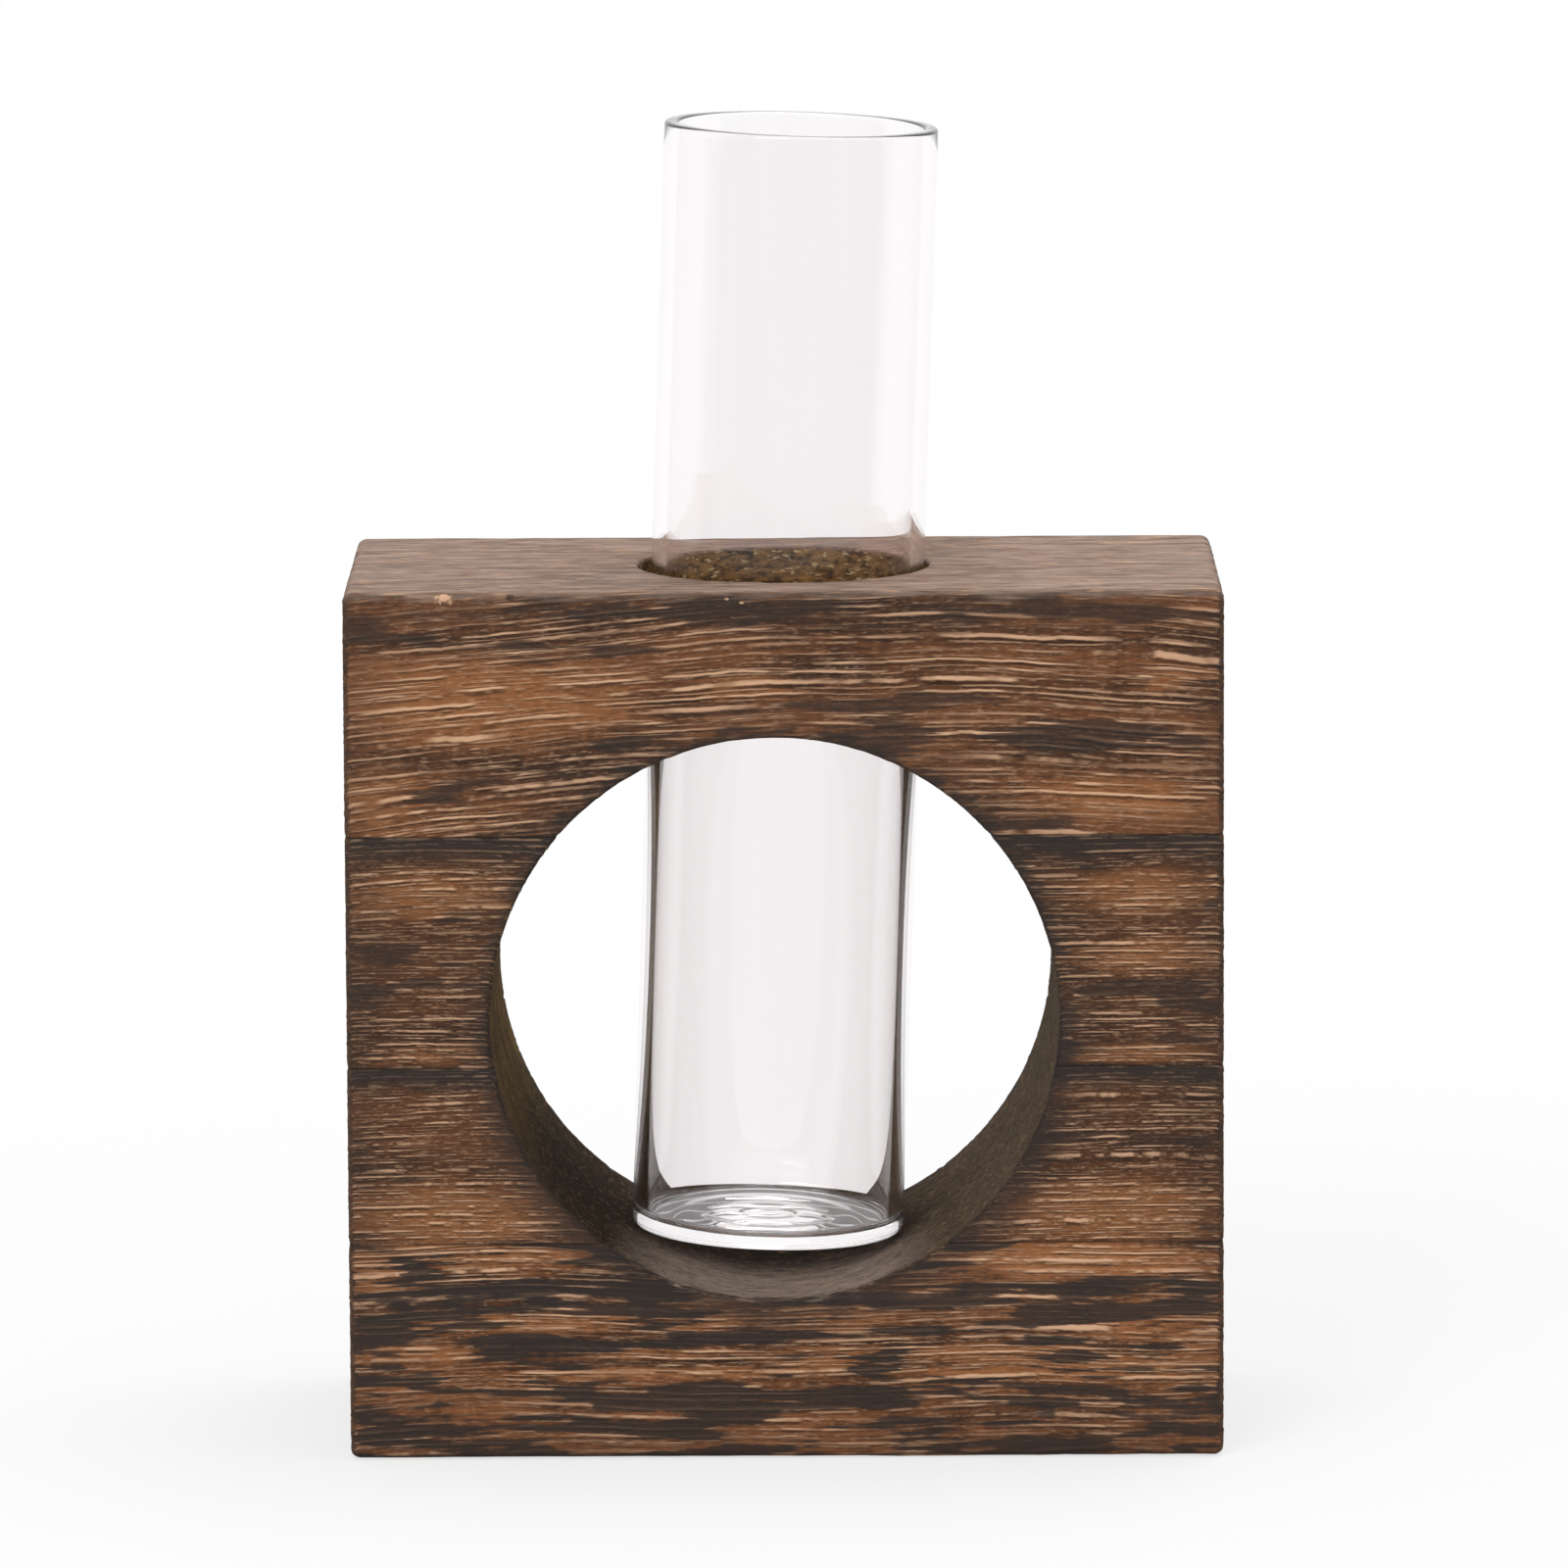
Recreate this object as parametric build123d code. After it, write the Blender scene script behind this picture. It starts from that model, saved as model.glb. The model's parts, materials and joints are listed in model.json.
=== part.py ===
from build123d import *
import os
from math import acos, atan2, degrees, hypot, sqrt

# A test tube vase: a block of torched wood, bored through, that holds a flat-bottomed glass tube.
# X runs along the block's width, Y from front to back and Z up, from the middle of the block's underside.

# Wooden block, glued up from four rows of staves that lie flat on each other
BLOCK_WIDTH = 100.0
BLOCK_DEPTH = 50.0
BOTTOM_STAVE_HEIGHT = 25.0
LOWER_STAVE_HEIGHT = 20.4
UPPER_STAVE_HEIGHT = 26.6
TOP_STAVE_HEIGHT = 28.0
EDGE_RADIUS = 1.2

# Round window, bored from front to back a little left of the middle
WINDOW_DIAMETER = 64.7
WINDOW_OFFSET = -1.2
WINDOW_FLOOR = 18.4  # wood left under the window
WINDOW_RIM_RADIUS = 0.8

# Glass tube with a flat foot, a small heel and a rim with eased edges
TUBE_DIAMETER = 31.4
TUBE_LENGTH = 128.4
TUBE_WALL = 1.6
TUBE_FLOOR = 1.7
HEEL_RADIUS = 0.9
INNER_CORNER_RADIUS = 1.0
RIM_RADIUS = 0.4

# Hole for the tube, drilled from the top down into the window
HOLE_PLAY = 1.9  # how much wider the hole is than the tube
HOLE_RIM_RADIUS = 0.5

# Clearances of the tube at rest, and how far a cutting shape passes beyond the wood
SEAT_GAP = 0.2
LEAN_GAP = 0.4
OVERRUN = 5.0

# What follows from the sizes above
SEAM_LEVELS = [
    BOTTOM_STAVE_HEIGHT,
    BOTTOM_STAVE_HEIGHT + LOWER_STAVE_HEIGHT,
    BOTTOM_STAVE_HEIGHT + LOWER_STAVE_HEIGHT + UPPER_STAVE_HEIGHT,
]
BLOCK_HEIGHT = SEAM_LEVELS[-1] + TOP_STAVE_HEIGHT
WINDOW_RADIUS = WINDOW_DIAMETER / 2
WINDOW_LEVEL = WINDOW_FLOOR + WINDOW_RADIUS
TUBE_RADIUS = TUBE_DIAMETER / 2
TUBE_BORE_RADIUS = TUBE_RADIUS - TUBE_WALL
HOLE_RADIUS = (TUBE_DIAMETER + HOLE_PLAY) / 2

# The tube stands on two points of its heel in the round window floor, so its axis always meets the
# window's axis, at this height above the foot of the tube.
SEAT_DROP = HEEL_RADIUS + sqrt(
    (WINDOW_RADIUS - SEAT_GAP - HEEL_RADIUS) ** 2 - (TUBE_RADIUS - HEEL_RADIUS) ** 2
)

# It rolls in that floor until its side meets the right edge of the hole, in the block's top face:
# rise * sin(lean) + tube radius = reach * cos(lean)
LEAN_RISE = BLOCK_HEIGHT - WINDOW_LEVEL
LEAN_REACH = HOLE_RADIUS - LEAN_GAP - WINDOW_OFFSET
LEAN = acos(TUBE_RADIUS / hypot(LEAN_RISE, LEAN_REACH)) - atan2(LEAN_RISE, LEAN_REACH)


def bored_block():
    """The whole block with its eased edges, window and tube hole, before it is parted into staves."""
    block = Pos(0, 0, BLOCK_HEIGHT / 2) * Box(BLOCK_WIDTH, BLOCK_DEPTH, BLOCK_HEIGHT)
    block = fillet(block.edges(), EDGE_RADIUS)

    window = Cylinder(WINDOW_RADIUS, BLOCK_DEPTH + 2 * OVERRUN)
    block -= Pos(WINDOW_OFFSET, 0, WINDOW_LEVEL) * Rot(90, 0, 0) * window
    hole = Cylinder(HOLE_RADIUS, LEAN_RISE + OVERRUN, align=(Align.CENTER, Align.CENTER, Align.MIN))
    block -= Pos(0, 0, WINDOW_LEVEL) * hole

    circles = block.edges().filter_by(GeomType.CIRCLE)
    front_and_back = circles.group_by(Axis.Y)[0] + circles.group_by(Axis.Y)[-1]
    window_rims = [edge for edge in front_and_back if edge.radius > EDGE_RADIUS]
    block = fillet(window_rims, WINDOW_RIM_RADIUS)

    topmost = block.edges().filter_by(GeomType.CIRCLE).group_by(Axis.Z)[-1]
    hole_rim = [edge for edge in topmost if edge.radius > EDGE_RADIUS]
    return fillet(hole_rim, HOLE_RIM_RADIUS)


def cut_out(block, left, right, low, high):
    """The one solid of the block that lies between two upright planes and two level planes."""
    keep = Box(
        right - left,
        BLOCK_DEPTH + 2 * OVERRUN,
        high - low,
        align=(Align.MIN, Align.CENTER, Align.MIN),
    )
    return (block & Pos(left, 0, low) * keep).solid()


def staves():
    """The six pieces of the block, each with its name. The window parts each middle stave in two."""
    block = bored_block()
    left = -BLOCK_WIDTH / 2 - OVERRUN
    right = BLOCK_WIDTH / 2 + OVERRUN
    first, second, third = SEAM_LEVELS
    pieces = {
        "bottom_stave": cut_out(block, left, right, -OVERRUN, first),
        "top_stave": cut_out(block, left, right, third, BLOCK_HEIGHT + OVERRUN),
    }
    for row, low, high in (("lower", first, second), ("upper", second, third)):
        pieces[f"{row}_left_stave"] = cut_out(block, left, WINDOW_OFFSET, low, high)
        pieces[f"{row}_right_stave"] = cut_out(block, WINDOW_OFFSET, right, low, high)
    return pieces


def glass_tube():
    """The tube, turned from half of its section and stood in the window at its lean."""
    rim_level = TUBE_LENGTH - RIM_RADIUS
    corner_level = TUBE_FLOOR + INNER_CORNER_RADIUS
    corner_start = TUBE_BORE_RADIUS - INNER_CORNER_RADIUS
    rim_outside = TUBE_RADIUS - RIM_RADIUS
    rim_inside = TUBE_BORE_RADIUS + RIM_RADIUS

    section = [
        Line((0, 0), (TUBE_RADIUS - HEEL_RADIUS, 0)),
        TangentArc((TUBE_RADIUS - HEEL_RADIUS, 0), (TUBE_RADIUS, HEEL_RADIUS), tangent=(1, 0)),
        Line((TUBE_RADIUS, HEEL_RADIUS), (TUBE_RADIUS, rim_level)),
        TangentArc((TUBE_RADIUS, rim_level), (rim_outside, TUBE_LENGTH), tangent=(0, 1)),
        Line((rim_outside, TUBE_LENGTH), (rim_inside, TUBE_LENGTH)),
        TangentArc((rim_inside, TUBE_LENGTH), (TUBE_BORE_RADIUS, rim_level), tangent=(-1, 0)),
        Line((TUBE_BORE_RADIUS, rim_level), (TUBE_BORE_RADIUS, corner_level)),
        TangentArc((TUBE_BORE_RADIUS, corner_level), (corner_start, TUBE_FLOOR), tangent=(0, -1)),
        Line((corner_start, TUBE_FLOOR), (0, TUBE_FLOOR)),
        Line((0, TUBE_FLOOR), (0, 0)),
    ]
    tube = revolve(Plane.XZ * make_face(section), Axis.Z)
    seat = Pos(WINDOW_OFFSET, 0, WINDOW_LEVEL) * Rot(0, degrees(LEAN), 0) * Pos(0, 0, -SEAT_DROP)
    return (seat * tube).solid()


def main():
    os.makedirs("parts", exist_ok=True)
    pieces = staves()
    pieces["glass_tube"] = glass_tube()
    for name, piece in pieces.items():
        export_step(piece, f"parts/{name}.step")


main()
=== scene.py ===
import json
from math import cos, pi, radians, sin, sqrt, tan

import bmesh
import bpy
import numpy as np
from mathutils import Matrix, Vector


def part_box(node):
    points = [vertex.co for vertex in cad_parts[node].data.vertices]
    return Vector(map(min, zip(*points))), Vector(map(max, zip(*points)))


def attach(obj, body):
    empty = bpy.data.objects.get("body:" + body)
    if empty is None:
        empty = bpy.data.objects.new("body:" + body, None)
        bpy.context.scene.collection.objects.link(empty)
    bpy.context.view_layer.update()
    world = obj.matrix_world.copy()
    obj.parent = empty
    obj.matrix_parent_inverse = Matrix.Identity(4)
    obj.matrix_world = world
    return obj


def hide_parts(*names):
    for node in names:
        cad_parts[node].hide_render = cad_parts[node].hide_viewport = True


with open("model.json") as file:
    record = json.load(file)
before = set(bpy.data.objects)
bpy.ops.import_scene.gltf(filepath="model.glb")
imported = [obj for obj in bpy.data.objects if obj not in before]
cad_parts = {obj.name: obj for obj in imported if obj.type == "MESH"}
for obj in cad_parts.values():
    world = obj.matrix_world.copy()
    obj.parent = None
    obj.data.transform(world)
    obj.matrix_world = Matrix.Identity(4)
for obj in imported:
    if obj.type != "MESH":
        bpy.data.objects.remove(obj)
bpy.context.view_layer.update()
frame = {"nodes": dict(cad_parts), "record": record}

MM = 0.001

# Boards of the block, from the top down, and the staves that the window leaves of each
BOARDS = {
    "top": ["top_stave"],
    "upper": ["upper_left_stave", "upper_right_stave"],
    "lower": ["lower_left_stave", "lower_right_stave"],
    "bottom": ["bottom_stave"],
}

# Block, in millimetres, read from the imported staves
BLOCK_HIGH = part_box("top_stave")[1] / MM
HALF_WIDTH = BLOCK_HIGH.x
HALF_DEPTH = BLOCK_HIGH.y
BLOCK_HEIGHT = BLOCK_HIGH.z
SEAMS = [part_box(BOARDS[board][0])[1].z / MM for board in ("bottom", "lower", "upper")]
HOLE_RADIUS = 16.65

# Fineness of the staves' meshes along X, Y and Z: the grain runs along X, so that step is the longest
LATTICE = (2.0, 1.0, 0.35)
WELD = 1e-6
FLAT_ANGLE = radians(0.1)
CREASE_ANGLE = radians(40)

# Brushed relief of the wood, in millimetres, and how the growth rings lie in Y and Z
RELIEF_DEPTH = 0.16
SEAM_GROOVE = 0.12
SEAM_GROOVE_HALF = 0.4
RING_TILT = (0.53, 0.85)
EASED_EDGE = 1.3
ARCH_CREST = 20.0
END_PITH = (14.0, -64.0)
END_RING = 1.0

# Glass tube, in millimetres
TUBE_LENGTH = 128.4
TUBE_WALL = 1.6
TUBE_FLOOR = 1.7
HEEL_RADIUS = 0.9
INNER_CORNER_RADIUS = 1.0
RIM_RADIUS = 0.4
RIPPLE_HEIGHT = 0.035
RIPPLE_PITCH = 4.4
RIPPLE_EDGE = 0.12
FLOOR_SLOPE = tan(radians(1.8))
SLOPE_FADE = 3.0
FOOT_ROWS = 12
FLOOR_ROWS = 90
TUBE_SIDES = 192
WALL_ROWS = 48
ARC_STEPS = 12

# Camera, from a fit to the block's corners, the window's rims and the tube's outline
CAMERA_PLACE = Vector((3.217, -1366.276, 279.278)) * MM
CAMERA_PITCH = radians(8.535)
CAMERA_YAW = radians(-0.137)
CAMERA_ROLL = radians(-0.288)
CAMERA_LENS = 274.68
CAMERA_SENSOR = 36.0


def window_of_block():
    """Centre (x, z) and radius of the window, in millimetres, from where it cuts the seams."""
    high, low = SEAMS[2], SEAMS[0]
    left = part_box("upper_left_stave")[1].x / MM
    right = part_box("upper_right_stave")[0].x / MM
    low_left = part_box("lower_left_stave")[1].x / MM
    low_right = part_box("lower_right_stave")[0].x / MM
    half, low_half = (right - left) / 2, (low_right - low_left) / 2
    level = (high**2 - low**2 + half**2 - low_half**2) / (2 * (high - low))
    return (left + right) / 2, level, sqrt(half**2 + (high - level) ** 2)


WINDOW_X, WINDOW_Z, WINDOW_RADIUS = window_of_block()


class Wiring:
    """Puts nodes in a tree and joins them. Numbers, colours and other nodes' sockets can all be fed in."""

    def __init__(self, tree):
        self.tree = tree

    def node(self, kind, feeds=None, **settings):
        made = self.tree.nodes.new(kind)
        for name, value in settings.items():
            setattr(made, name, value)
        for key, value in (feeds or {}).items():
            self.feed(made.inputs[key], value)
        return made

    def feed(self, socket, value):
        if isinstance(value, bpy.types.NodeSocket):
            self.tree.links.new(value, socket)
        else:
            socket.default_value = value

    def math(self, operation, *values):
        return self.node("ShaderNodeMath", dict(enumerate(values)), operation=operation).outputs[0]

    def vector(self, operation, *values):
        feeds = dict(enumerate(values))
        return self.node("ShaderNodeVectorMath", feeds, operation=operation).outputs[0]

    def times(self, first, *others):
        """The values multiplied together."""
        for other in others:
            first = self.math("MULTIPLY", first, other)
        return first

    def linear(self, value, slope, start):
        """The value times slope, plus start."""
        return self.math("MULTIPLY_ADD", value, slope, start)

    def scaled(self, place, factor):
        made = self.node("ShaderNodeVectorMath", {0: place, "Scale": factor}, operation="SCALE")
        return made.outputs[0]

    def length(self, place):
        return self.node("ShaderNodeVectorMath", {0: place}, operation="LENGTH").outputs[1]

    def joined(self, x, y, z):
        return self.node("ShaderNodeCombineXYZ", {0: x, 1: y, 2: z}).outputs[0]

    def parts(self, place):
        return self.node("ShaderNodeSeparateXYZ", {0: place}).outputs

    def noise(self, place, detail=0.0, roughness=0.5):
        feeds = {"Vector": place, "Scale": 1.0, "Detail": detail, "Roughness": roughness}
        return self.node("ShaderNodeTexNoise", feeds).outputs[0]

    def drawn_out(self, place, length, across):
        """The place squeezed along the grain, so that a pattern laid on it is drawn out to this length."""
        along = self.math("DIVIDE", 1.0, length)
        over = self.math("DIVIDE", 1.0, across)
        return self.vector("MULTIPLY", place, self.joined(along, over, over))

    def rise(self, value, low, high):
        """0 below low, 1 above high and smooth between them."""
        feeds = {0: value, 1: low, 2: high, 3: 0.0, 4: 1.0}
        return self.node("ShaderNodeMapRange", feeds, interpolation_type="SMOOTHSTEP").outputs[0]

    def fall(self, value, low, high):
        """1 below low, 0 above high and smooth between them."""
        return self.math("SUBTRACT", 1.0, self.rise(value, low, high))

    def spread(self, value, reach):
        """A noise value from 0 to 1, turned into an amount from minus reach to plus reach."""
        return self.times(self.linear(value, slope=2.0, start=-1.0), reach)

    def mix(self, share, first, second):
        made = self.node("ShaderNodeMix", {0: share, 6: first, 7: second}, data_type="RGBA")
        return made.outputs[2]

    def stain(self, colour, tint, mask, amount):
        """The colour with an amount of a tint laid over it where the mask is 1."""
        return self.mix(self.times(mask, amount), colour, tint)


def group(name, kind, inputs, outputs):
    """A new node group with named sockets, with the sockets of its two ends and its wiring."""
    tree = bpy.data.node_groups.new(name, kind)
    for in_out, sockets in (("INPUT", inputs), ("OUTPUT", outputs)):
        for socket, socket_type in sockets.items():
            tree.interface.new_socket(name=socket, in_out=in_out, socket_type="NodeSocket" + socket_type)
    w = Wiring(tree)
    return tree, w, w.node("NodeGroupInput").outputs, w.node("NodeGroupOutput").inputs


# What each board's look is given by: its grain, which also shapes its relief, and its colour
GRAIN_VALUES = (
    "Seed", "Sway", "Arch", "Streak Length", "Streak Spacing", "Streak Width", "Streak Amount",
    "Flame Length", "Flame Height", "Flame Amount", "Flame Tatter",
)
COLOUR_VALUES = ("Flame Depth", "Streak Strength", "Band Level", "Band Depth", "Band Amount", "Warmth")
NO_BAND = {"Band Level": 300.0, "Band Depth": 1.0, "Band Amount": 0.0}
BOARD_LOOKS = {
    "top": {
        "Seed": 1.0, "Sway": 1.6, "Arch": 1.25,
        "Streak Length": 11.0, "Streak Spacing": 1.05, "Streak Width": 0.17, "Streak Amount": 0.62,
        "Flame Length": 20.0, "Flame Height": 3.4, "Flame Amount": 0.3, "Flame Tatter": 0.06,
        "Flame Depth": 0.66, "Streak Strength": 0.92, "Warmth": 0.68, **NO_BAND,
    },
    "upper": {
        "Seed": 2.0, "Sway": 0.7, "Arch": 0.3,
        "Streak Length": 5.5, "Streak Spacing": 0.7, "Streak Width": 0.18, "Streak Amount": 0.56,
        "Flame Length": 14.0, "Flame Height": 2.4, "Flame Amount": 0.36, "Flame Tatter": 0.1,
        "Flame Depth": 0.6, "Streak Strength": 0.82, "Warmth": 0.25,
        "Band Level": SEAMS[2], "Band Depth": 4.4, "Band Amount": 0.9,
    },
    "lower": {
        "Seed": 3.0, "Sway": 0.6, "Arch": 0.2,
        "Streak Length": 4.0, "Streak Spacing": 0.66, "Streak Width": 0.18, "Streak Amount": 0.56,
        "Flame Length": 12.0, "Flame Height": 2.0, "Flame Amount": 0.33, "Flame Tatter": 0.1,
        "Flame Depth": 0.55, "Streak Strength": 0.82, "Warmth": 0.32,
        "Band Level": SEAMS[1], "Band Depth": 3.8, "Band Amount": 0.9,
    },
    "bottom": {
        "Seed": 4.0, "Sway": 1.2, "Arch": 0.3,
        "Streak Length": 8.0, "Streak Spacing": 0.85, "Streak Width": 0.19, "Streak Amount": 0.66,
        "Flame Length": 15.0, "Flame Height": 1.3, "Flame Amount": 0.57, "Flame Tatter": 0.23,
        "Flame Depth": 0.88, "Streak Strength": 0.92, "Warmth": 1.0, **NO_BAND,
    },
}

# What keeps the noise of one board, line or pattern apart from the next
BOARD_STEP = 23.7
BOARD_SHIFT = (37.0, 11.3, 23.7)
LINE_STEP = 3.71
WANDER_SHIFT = 51.7
FINE_LINE_SHIFT = 91.3
END_STEP = 5.3
SCRATCH_SHIFT = (31.0, 17.0, 5.0)
SPARK_SHIFT = (7.0, 3.0, 11.0)

# Lines of the grain, in millimetres: how far one keeps its shape into the wood, and how far it wanders
LINE_DEPTH = 14.0
LINE_WANDER_LENGTH = 5.0
LINE_WANDER = 0.24

# Marks on the front of the block, in millimetres: middle across, middle height, half length, half height.
# Burnt flames
FLAMES = (
    (15.0, 97.6, 30.0, 1.8), (-24.0, 97.6, 14.0, 1.0), (-20.0, 93.5, 5.0, 1.0), (10.5, 83.0, 5.5, 2.4),
    (33.0, 83.2, 8.5, 2.8), (-16.5, 82.4, 4.0, 1.5), (-38.0, 79.8, 6.5, 1.2), (40.0, 54.4, 10.0, 1.1),
    (-42.0, 57.0, 9.0, 1.6), (-41.8, 21.6, 3.2, 1.1), (-25.4, 19.9, 15.5, 0.9), (-46.0, 15.0, 5.0, 2.4),
    (-30.0, 12.7, 6.3, 1.7), (-12.5, 16.5, 4.5, 1.0), (-8.0, 14.1, 10.0, 0.85), (-25.0, 8.4, 7.5, 1.4),
    (-11.0, 7.5, 14.0, 1.3), (-45.0, 9.5, 5.0, 1.3), (20.0, 17.9, 6.0, 1.5), (33.0, 18.4, 8.0, 2.0),
    (15.5, 14.6, 4.5, 1.0), (32.0, 11.5, 7.0, 2.6), (11.0, 10.4, 3.2, 1.8), (27.0, 7.6, 10.0, 1.7),
    (8.0, 7.4, 10.0, 1.2), (42.0, 12.8, 6.0, 1.6), (38.0, 7.0, 4.0, 0.9), (47.0, 18.0, 4.0, 1.6),
)
# Golden wood that the torch passed over
GLOWS = (
    (-33.0, 87.5, 18.0, 5.5), (-46.5, 76.0, 5.0, 3.5), (-6.0, 89.0, 7.0, 1.6), (45.0, 90.0, 5.0, 2.4),
    (38.0, 76.0, 13.0, 2.4), (-41.0, 65.0, 10.0, 3.0), (41.0, 65.5, 10.0, 2.6), (41.0, 58.2, 9.0, 2.2),
    (-41.0, 47.2, 9.0, 1.4), (41.0, 47.0, 9.0, 1.4), (-38.0, 28.5, 14.0, 3.6), (38.0, 28.5, 14.0, 3.6),
    (-30.0, 22.8, 9.0, 1.8), (-47.0, 21.2, 3.0, 3.0), (-28.5, 16.0, 12.0, 1.5), (-8.0, 15.7, 4.0, 0.7),
    (-11.0, 12.3, 13.0, 0.9), (-15.0, 10.1, 17.0, 0.7), (-43.0, 12.4, 6.0, 0.7), (34.0, 22.8, 17.0, 2.2),
    (5.5, 16.3, 7.0, 1.6), (26.5, 18.7, 6.0, 0.9), (37.5, 15.0, 6.0, 1.5), (22.5, 12.2, 8.5, 1.0),
    (21.0, 10.0, 8.0, 0.7), (38.5, 10.5, 6.0, 1.5), (4.0, 11.2, 5.5, 1.8), (47.0, 12.5, 3.5, 3.6),
)
MARK_TEAR = 10.0
MARK_LIFT = 1.0


def marked(w, place, marks):
    """1 inside the marks on the front of the block, 0 away from them and on the other faces."""
    front = w.fall(w.parts(place)[1], low=-20.0, high=-8.0)
    tear = w.noise(w.drawn_out(place, length=13.0, across=0.5), detail=2.0, roughness=0.6)
    lift = w.noise(w.drawn_out(place, length=6.0, across=3.0), detail=1.0)
    place = w.vector("ADD", place, w.joined(w.spread(tear, MARK_TEAR), 0.0, w.spread(lift, MARK_LIFT)))
    nearest = BLOCK_HEIGHT
    for across, level, length, height in marks:
        scale = (1.0 / length, 0.0, 1.0 / height)
        shift = (-across / length, 0.0, -level / height)
        away = w.length(w.vector("MULTIPLY_ADD", place, scale, shift))
        nearest = w.math("MINIMUM", away, nearest)
    return w.times(w.fall(nearest, low=0.4, high=1.4), front)


def strokes(w, along, across, depth, seed, spacing, length, width, amount):
    """Fine lines side by side along the grain, each with its own gaps.

    Gives the lines, the groove under each (a dent in the relief and a painted shadow in the colour) and the
    noise that parts them."""
    line = w.math("DIVIDE", across, spacing)
    offset = w.math("SUBTRACT", w.math("FRACT", line), 0.5)
    own = w.linear(w.math("FLOOR", line), slope=LINE_STEP, start=seed)
    far = w.math("DIVIDE", depth, LINE_DEPTH)
    run = w.noise(w.joined(w.math("DIVIDE", along, length), own, far), detail=3.0, roughness=0.68)
    bends = w.joined(w.math("DIVIDE", along, LINE_WANDER_LENGTH), w.math("ADD", own, WANDER_SHIFT), far)
    wander = w.noise(bends, detail=3.0, roughness=0.6)
    offset = w.math("ADD", offset, w.spread(wander, LINE_WANDER))

    shown = w.rise(w.math("ADD", run, amount), low=0.46, high=0.6)
    width = w.times(width, w.math("ADD", run, 0.5))
    inner = w.times(width, 0.35)
    stroke = w.times(w.fall(w.math("ABSOLUTE", offset), inner, width), shown)
    below = w.math("ABSOLUTE", w.math("ADD", offset, w.times(width, 1.5)))
    groove = w.times(w.fall(below, inner, width), shown)
    return stroke, groove, run


def grain_flow(w, given):
    """The place, bent to the sway and the arch of the board's grain."""
    place = w.vector("ADD", given["Place"], w.scaled(BOARD_SHIFT, given["Seed"]))
    slow = w.noise(w.drawn_out(place, length=42.0, across=26.0), detail=1.0)
    quick = w.noise(w.drawn_out(place, length=14.0, across=7.0), detail=1.0)
    bend = w.math("ADD", w.spread(slow, given["Sway"]), w.spread(quick, w.times(given["Sway"], 0.12)))
    from_crest = w.linear(w.parts(given["Place"])[0], slope=1.0 / HALF_WIDTH, start=-ARCH_CREST / HALF_WIDTH)
    bend = w.linear(w.times(from_crest, from_crest), slope=given["Arch"], start=bend)
    return w.vector("ADD", place, w.joined(0.0, w.times(bend, 0.6), bend))


def grain_lines(w, given, flow, seed):
    """Pale streaks, the grooves under them, which also carry the painted shadow under each streak, and the
    noise that parts the bold ones.
    """
    along, y, z = w.parts(flow)
    across = w.linear(y, slope=RING_TILT[0], start=w.times(z, RING_TILT[1]))
    depth = w.linear(z, slope=-RING_TILT[0], start=w.times(y, RING_TILT[1]))
    uneven = w.joined(w.math("DIVIDE", along, 70.0), w.math("DIVIDE", across, 2.4), seed)
    across = w.math("ADD", across, w.spread(w.noise(uneven, detail=1.0), 0.9))

    more = w.linear(given["Streak Amount"], slope=0.3, start=-0.15)
    width, spacing, length = given["Streak Width"], given["Streak Spacing"], given["Streak Length"]
    bold, bold_groove_and_shadow, run = strokes(w, along, across, depth, seed, spacing, length, width, more)
    seed = w.math("ADD", seed, FINE_LINE_SHIFT)
    spacing, length = w.times(spacing, 0.57), w.times(length, 0.55)
    fine, fine_groove_and_shadow, _ = strokes(w, along, across, depth, seed, spacing, length, width, more)
    streak = w.math("MAXIMUM", bold, w.times(fine, 0.5))
    groove = w.math("MAXIMUM", bold_groove_and_shadow, w.times(fine_groove_and_shadow, 0.7))
    return streak, groove, run


def grain_flame(w, given, flow, glow, run):
    """Where the torch burnt the wood black."""
    burnt = w.drawn_out(flow, given["Flame Length"], given["Flame Height"])
    burnt = w.noise(burnt, detail=2.0, roughness=0.45)
    more = w.linear(given["Flame Amount"], slope=0.4, start=-0.2)
    more = w.linear(marked(w, given["Place"], FLAMES), slope=0.19, start=more)
    more = w.linear(glow, slope=-0.14, start=more)
    burnt = w.math("ADD", w.math("ADD", burnt, more), w.spread(run, given["Flame Tatter"]))
    return w.rise(burnt, low=0.49, high=0.6)


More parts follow.
